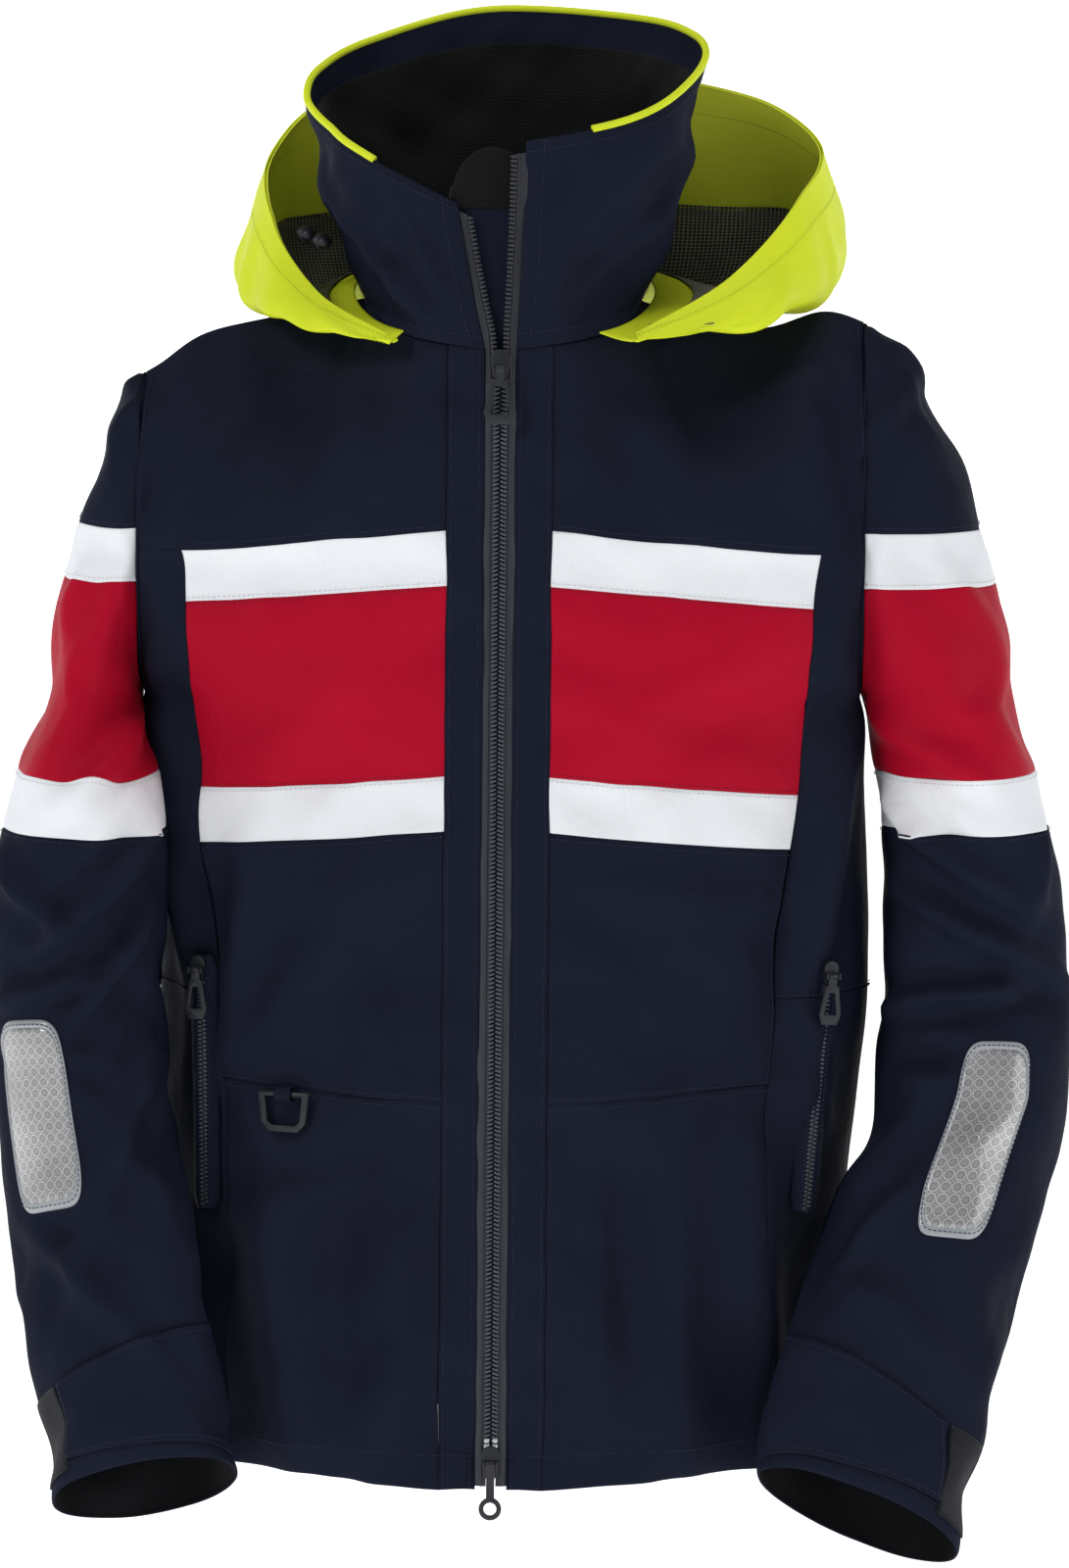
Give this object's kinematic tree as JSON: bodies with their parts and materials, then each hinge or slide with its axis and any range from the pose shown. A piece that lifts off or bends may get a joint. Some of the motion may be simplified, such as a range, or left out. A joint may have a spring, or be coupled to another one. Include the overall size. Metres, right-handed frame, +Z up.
{
  "type": "foul weather jacket",
  "caption": "Hooded sailing jacket with tall flared collar, two-way front zip, chest and sleeve colour bands, tabbed cuffs, zipped hand pockets and a D-ring.",
  "frame": {"origin": "middle of the neck ring, on the garment's centre line at the height of the shoulder neck points", "axes": "+Z up, +X to the wearer's left, -Y out of the chest"},
  "size_m": [0.64, 0.3459, 0.9079],
  "materials": {
    "shell_navy": "matte woven",
    "shell_red": "matte woven",
    "shell_white": "matte woven",
    "hood_lime": "matte woven",
    "hood_mesh": "metallic mesh",
    "lining": "brushed",
    "loop_fabric": "hook and loop",
    "reflective": "clear gloss",
    "zip_tape": "laminated satin",
    "zip_teeth": "satin",
    "hardware": "satin"
  },
  "bodies": {
    "torso": {"zip_tape_right": "zip_tape", "zip_tape_left": "zip_tape", "zip_teeth_right": "zip_teeth", "zip_teeth_left": "zip_teeth", "placket_right": "shell_navy", "placket_left": "shell_navy", "front_yoke_right": "shell_navy", "front_yoke_left": "shell_navy", "chest_stripes_right": "shell_white", "chest_stripes_left": "shell_white", "chest_band_right": "shell_red", "chest_band_left": "shell_red", "front_panel_right": "shell_navy", "front_panel_left": "shell_navy", "side_panel_right": "shell_navy", "side_panel_left": "shell_navy", "back_yoke": "shell_navy", "back_panel": "shell_navy", "pocket_zip_right": "zip_tape", "pocket_zip_left": "zip_tape", "pocket_bags": "lining", "d_ring_loop": "shell_navy", "collar_shell": "shell_navy", "collar_lining": "lining", "collar_piping": "hood_lime", "storm_flap": "shell_navy", "chin_guard": "lining", "hanger_loop": "lining", "hood_shell": "hood_lime", "hood_lining": "hood_mesh", "hood_cord_locks": "hardware"},
    "front_slider": {"front_slider": "hardware"},
    "front_pull": {"front_pull": "hardware"},
    "bottom_slider": {"bottom_slider": "hardware"},
    "bottom_pull": {"bottom_pull": "hardware"},
    "d_ring": {"d_ring": "hardware"},
    "pocket_slider_right": {"pocket_slider_right": "hardware"},
    "pocket_pull_right": {"pocket_pull_right": "hardware"},
    "upper_arm_right": {"sleeve_cap_right": "shell_navy", "sleeve_stripes_right": "shell_white", "sleeve_band_right": "shell_red", "upper_sleeve_right": "shell_navy"},
    "forearm_right": {"forearm_right": "shell_navy", "cuff_right": "shell_navy", "loop_patch_right": "loop_fabric", "reflective_patch_right": "reflective"},
    "cuff_tab_right": {"cuff_tab_right": "shell_navy"},
    "pocket_slider_left": {"pocket_slider_left": "hardware"},
    "pocket_pull_left": {"pocket_pull_left": "hardware"},
    "upper_arm_left": {"sleeve_cap_left": "shell_navy", "sleeve_stripes_left": "shell_white", "sleeve_band_left": "shell_red", "upper_sleeve_left": "shell_navy"},
    "forearm_left": {"forearm_left": "shell_navy", "cuff_left": "shell_navy", "loop_patch_left": "loop_fabric", "reflective_patch_left": "reflective"},
    "cuff_tab_left": {"cuff_tab_left": "shell_navy"}
  },
  "joints": [
    {"name": "front_zip_slide", "type": "slide", "parent": "torso", "child": "front_slider", "axis": [0, -0.0452, -0.999], "range_m": [0, 0.46]},
    {"name": "front_pull_swing", "type": "hinge", "parent": "front_slider", "child": "front_pull", "pos_m": [0, -0.10644, -0.03764], "axis": [-1, 0, 0], "range_deg": [0, 140]},
    {"name": "bottom_zip_slide", "type": "slide", "parent": "torso", "child": "bottom_slider", "axis": [0, 0.0452, 0.999], "range_m": [0, 0.15]},
    {"name": "bottom_pull_swing", "type": "hinge", "parent": "bottom_slider", "child": "bottom_pull", "pos_m": [0, -0.13535, -0.67564], "axis": [-1, 0, 0], "range_deg": [0, 140]},
    {"name": "pocket_zip_slide_right", "type": "slide", "parent": "torso", "child": "pocket_slider_right", "axis": [0.02, -0.03, -0.9993], "range_m": [0, 0.12]},
    {"name": "pocket_pull_swing_right", "type": "hinge", "parent": "pocket_slider_right", "child": "pocket_pull_right", "pos_m": [-0.17711, -0.07817, -0.39375], "axis": [-0.932, 0.3613, -0.0295], "range_deg": [0, 140]},
    {"name": "pocket_zip_slide_left", "type": "slide", "parent": "torso", "child": "pocket_slider_left", "axis": [-0.0797, -0.0201, -0.9966], "range_m": [0, 0.12]},
    {"name": "pocket_pull_swing_left", "type": "hinge", "parent": "pocket_slider_left", "child": "pocket_pull_left", "pos_m": [0.19782, -0.07254, -0.39411], "axis": [-0.9223, -0.3778, 0.0814], "range_deg": [0, 140]},
    {"name": "d_ring_swing", "type": "hinge", "parent": "torso", "child": "d_ring", "pos_m": [-0.12307, -0.10492, -0.463], "axis": [-0.9291, 0.3699, 0], "range_deg": [0, 100]},
    {"name": "shoulder_raise_right", "type": "hinge", "parent": "torso", "child": "upper_arm_right", "pos_m": [-0.214, 0, -0.027], "axis": [0, 1, 0], "range_deg": [0, 50]},
    {"name": "elbow_bend_right", "type": "hinge", "parent": "upper_arm_right", "child": "forearm_right", "pos_m": [-0.248, -0.12808, -0.40214], "axis": [-1, 0, 0], "range_deg": [0, 75]},
    {"name": "cuff_tab_peel_right", "type": "hinge", "parent": "forearm_right", "child": "cuff_tab_right", "pos_m": [-0.17207, -0.16484, -0.63793], "axis": [-0.2198, 0.3235, 0.9204], "range_deg": [0, 100]},
    {"name": "shoulder_raise_left", "type": "hinge", "parent": "torso", "child": "upper_arm_left", "pos_m": [0.214, 0, -0.027], "axis": [0, -1, 0], "range_deg": [0, 50]},
    {"name": "elbow_bend_left", "type": "hinge", "parent": "upper_arm_left", "child": "forearm_left", "pos_m": [0.285, -0.06671, -0.40205], "axis": [-1, 0, 0], "range_deg": [0, 75]},
    {"name": "cuff_tab_peel_left", "type": "hinge", "parent": "forearm_left", "child": "cuff_tab_left", "pos_m": [0.18152, -0.1504, -0.64365], "axis": [-0.1825, -0.4559, -0.8712], "range_deg": [0, 100]}
  ]
}
